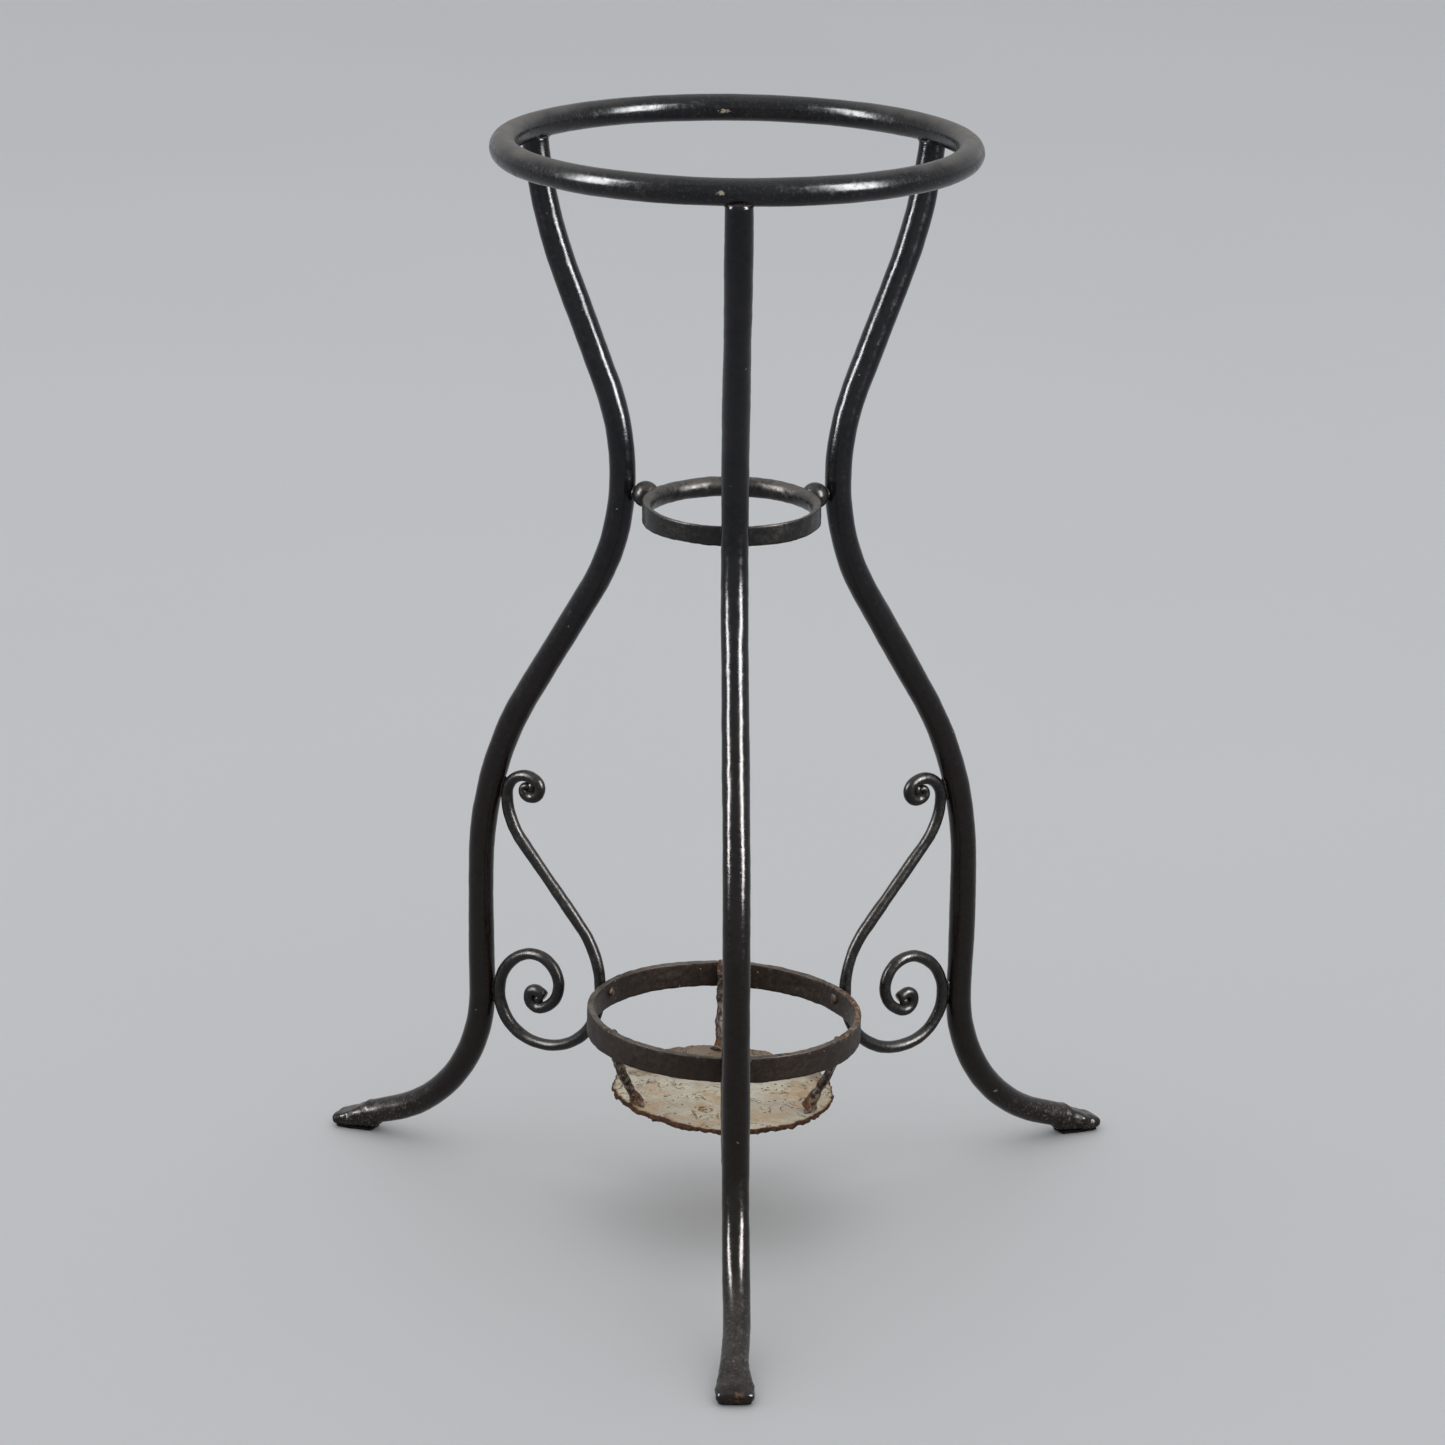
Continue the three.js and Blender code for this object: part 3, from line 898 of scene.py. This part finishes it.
def rivet(side, turn, seed):
    """The round head, inside the lower ring, that holds a scroll."""
    face = LOWER_RING["radius"] - LOWER_RING["thickness"]
    half, dome = RIVET["head"] / 2, RIVET["dome"]
    angle = np.linspace(0.04, 1, 9) * TAU / 4
    outline = [(half * math.sin(a), dome * math.cos(a)) for a in angle] + [(half * 0.8, -0.6)]
    rows = pointed(spun(outline, 28), (-1, 0, 0), (face, 0, RIVET["height"]))
    rows = lumps(rows, seed, (0.7, 3.2))
    marks = {"wear": 1, "rust": 0.25}
    name, tilt = f"scroll_rivet_{side}", (LOWER_TILT, RIVET["height"])
    piece(f"{name}_head", rows, RUSTY, name, turn, marks=marks, tilt=tilt)


# ---- tray and struts ----------------------------------------------------------------------


def strut(side, turn, seed):
    """A crooked rod from the lower ring down to the tray, with the weld at its foot."""
    stations = smooth_rows(STRUT_ROWS[side], 8)
    rows = bar(stations[:, :2], stations[:, 2], stations[:, 3], 2.3, 24)
    rows = lumps(rows, seed, (1.1, 9), (0.8, 3.5))
    height = stations[:, 1:2]
    foot, head = ramp(height, 104, 92), ramp(height, 141, 144)
    marks = {"wear": 0.3, "rust": 0.30 + 0.30 * foot + 0.2 * head}
    tilt = (LOWER_TILT, RIVET["height"])
    piece(f"strut_{side}_rod", rows, RUSTY, f"strut_{side}", turn, marks=marks, tilt=tilt)
    name, tilt = f"strut_{side}_weld_tray", (TRAY_TILT, TRAY["top"])
    across = (0, 1, 0)
    weld(name, TRAY_WELD_PLACE, across, RUSTY, turn, seed, rust=0.4, tilt=tilt, **TRAY_WELD)


def tray():
    """The thin round sheet: wavy, eaten away round its rim, and flaking below it."""
    radius, top = TRAY["radius"], TRAY["top"]
    sides = 300
    outline, upper = tray_outline()
    rows = spun(outline, sides)
    distance = np.linalg.norm(rows[..., :2], axis=-1)
    near_rim = ramp(distance, radius - 12, radius)
    torn = np.array([ragged(a) for a in np.arange(sides) / sides * TAU])
    rows[..., :2] *= (1 - near_rim ** 2 * torn / radius)[..., None]
    wave = 0.9 * noise_at(rows, 45) + 0.45 * noise_at(rows, 9)
    rows[..., 2] += wave + 1.3 * noise_at(rows, 3.4) * near_rim ** 2
    hang = 0.9 + 1.5 * np.maximum(noise_at(rows, 7), 0) + 0.8 * noise_at(rows, 2.2)
    is_lower = (np.arange(len(rows)) >= upper)[:, None]
    rows[..., 2] -= is_lower * ramp(distance, radius - 5, radius - 1) * hang
    back = np.clip(rows[..., 1] / radius, 0, 1)
    marks = {"rust": tray_rust(rows, near_rim), "stain": 1.1 * back ** 0.8}
    piece("tray_plate", rows, CREAM, "tray", marks=marks, tilt=(TRAY_TILT, top))


def tray_outline():
    """Points from the middle of the tray's top to the middle of its underside, and how many of
    them are on its upper half. The rest hang down in flakes."""
    radius, top = TRAY["radius"], TRAY["top"]
    bottom = top - TRAY["thickness"]
    innermost = 1.5
    upper = [(r, top) for r in np.linspace(innermost, radius - 2, 34)]
    upper += [(radius - 1, top - 0.1), (radius, top - 0.5)]
    lower = [(radius - 0.2, top - TRAY["thickness"] * 0.7), (radius - 1.2, bottom)]
    lower += [(r, bottom) for r in np.linspace(radius - 3, innermost, 14)]
    return upper + lower, len(upper)


def ragged(angle):
    """How far the tray's rim has rusted back at an angle."""
    place = Vector((math.cos(angle), math.sin(angle), 0.3))
    broad = noise.noise(place * 3.1)
    sharp = noise.noise(place * 13) + 0.6 * noise.noise(place * 31)
    return 1.4 + 1.6 * broad + 1.5 * sharp


def tray_rust(rows, near_rim):
    """How rusty the tray is: the rim all round and most at the front, a patch, and underneath."""
    front = np.clip(-rows[..., 1] / TRAY["radius"], 0, 1)
    under = rows[..., 2] < TRAY["top"] - 1.2
    away = np.linalg.norm(rows[..., :2] - TRAY_PATCH["centre"], axis=-1)
    patch = np.exp(-(away / TRAY_PATCH["reach"]) ** 2)
    return np.clip(near_rim ** 2.2 * (0.62 + 0.25 * front) + 0.32 * patch + 0.3 * under, 0, 1)


# ---- assembly -----------------------------------------------------------------------------

top_ring()
waist_ring()
lower_ring()
tray()
for number, (side, turn) in enumerate(LEG_ANGLES.items()):
    seed = 20 + number
    leg(side, turn, seed)
    ring_weld(side, turn, seed)
    foot_pad(side, turn, seed)
    ball(side, turn, seed)
    scroll(side, turn, seed)
    rivet(side, turn, seed)
for number, (side, turn) in enumerate(STRUT_ANGLES.items()):
    strut(side, turn, 40 + number)

# ---- floor, lights and camera -------------------------------------------------------------

FLOOR_REACH = 40  # metres
# Metres from the axis and over the floor; degrees round the axis and of the camera itself.
CAMERA = {
    "distance": 3.0677, "height": 1.3005, "turn": 1.53,
    "pan": 1.455, "pitch": 17.2, "roll": -0.831,
}
LENS, SENSOR = 119.48, 36


def floor():
    """A plain pale floor."""
    f = Finish("studio_floor")
    colour = f.mix(f.noise(900, 5, 0.5), (0.585, 0.585, 0.58), (0.62, 0.62, 0.615))
    material = f.done(colour, 0.55)
    mesh = bpy.data.meshes.new("studio_floor")
    corners = [(-1, -1, 0), (1, -1, 0), (1, 1, 0), (-1, 1, 0)]
    mesh.from_pydata([Vector(corner) * FLOOR_REACH for corner in corners], [], [(0, 1, 2, 3)])
    mesh.materials.append(material)
    made = bpy.data.objects.new("studio_floor", mesh)
    bpy.context.scene.collection.objects.link(made)
    made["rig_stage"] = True


def softbox(name, azimuth, distance, height, size, power, only=None, aim=0.35):
    """An area light round the stand, in metres and watts: azimuth in degrees from straight in
    front, to the right. It points at the axis, aim metres up. With only, it is nothing but a
    gleam on those objects."""
    data = bpy.data.lights.new(name, "AREA")
    data.shape = "RECTANGLE"
    data.size, data.size_y = size
    data.energy = power
    lamp = bpy.data.objects.new(name, data)
    bpy.context.scene.collection.objects.link(lamp)
    angle = math.radians(azimuth)
    lamp.location = (distance * math.sin(angle), AXIS.y * MM - distance * math.cos(angle), height)
    down = Vector((0, AXIS.y * MM, aim)) - lamp.location
    lamp.rotation_euler = down.to_track_quat("-Z", "Y").to_euler()
    lamp.visible_camera = False
    if only:
        lamp.light_linking.receiver_collection = only
        lamp.visible_diffuse = False


def painted_iron():
    """The pieces of black-painted iron, as a collection that a light can be kept to."""
    group = bpy.data.collections.new("painted_iron")
    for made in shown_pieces():
        if made.get("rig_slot") not in ("cream_paint", "foot_rubber", None):
            group.objects.link(made)
    return group


def sky():
    """Even soft light from all round."""
    world = bpy.data.worlds.new("studio")
    bpy.context.scene.world = world
    world.use_nodes = True
    background = world.node_tree.nodes["Background"]
    background.inputs["Color"].default_value = (0.93, 0.96, 1.0, 1)
    background.inputs["Strength"].default_value = 0.72


def camera():
    """The camera at the angle of the main view."""
    turn, pan = math.radians(CAMERA["turn"]), math.radians(CAMERA["pan"])
    pitch, roll = math.radians(CAMERA["pitch"]), math.radians(CAMERA["roll"])
    data = bpy.data.cameras.new("camera")
    data.sensor_width = SENSOR
    data.lens = LENS
    data.clip_end = 200
    made = bpy.data.objects.new("camera", data)
    bpy.context.scene.collection.objects.link(made)
    forward = math.cos(pitch)
    ahead = Vector((math.sin(pan) * forward, math.cos(pan) * forward, -math.sin(pitch)))
    level = Vector((math.cos(pan), -math.sin(pan), 0))
    down = ahead.cross(level)
    right = level * math.cos(roll) + down * math.sin(roll)
    up = level * math.sin(roll) - down * math.cos(roll)
    made.matrix_world = Matrix((right, up, -ahead)).transposed().to_4x4()
    away = CAMERA["distance"]
    made.location = (-away * math.sin(turn), AXIS.y * MM - away * math.cos(turn), CAMERA["height"])
    bpy.context.scene.camera = made


floor()
sky()
iron = painted_iron()
softbox("strip_left", -71, distance=2.6, height=1.7, size=(0.8, 2.0), power=240, only=iron)
softbox("strip_right", 55, distance=2.6, height=1.7, size=(1.0, 2.0), power=330, only=iron)
softbox("overhead", 180, distance=0.6, height=4.2, size=(5.0, 5.0), power=40)
camera()
bpy.context.scene.view_settings.view_transform = "Standard"
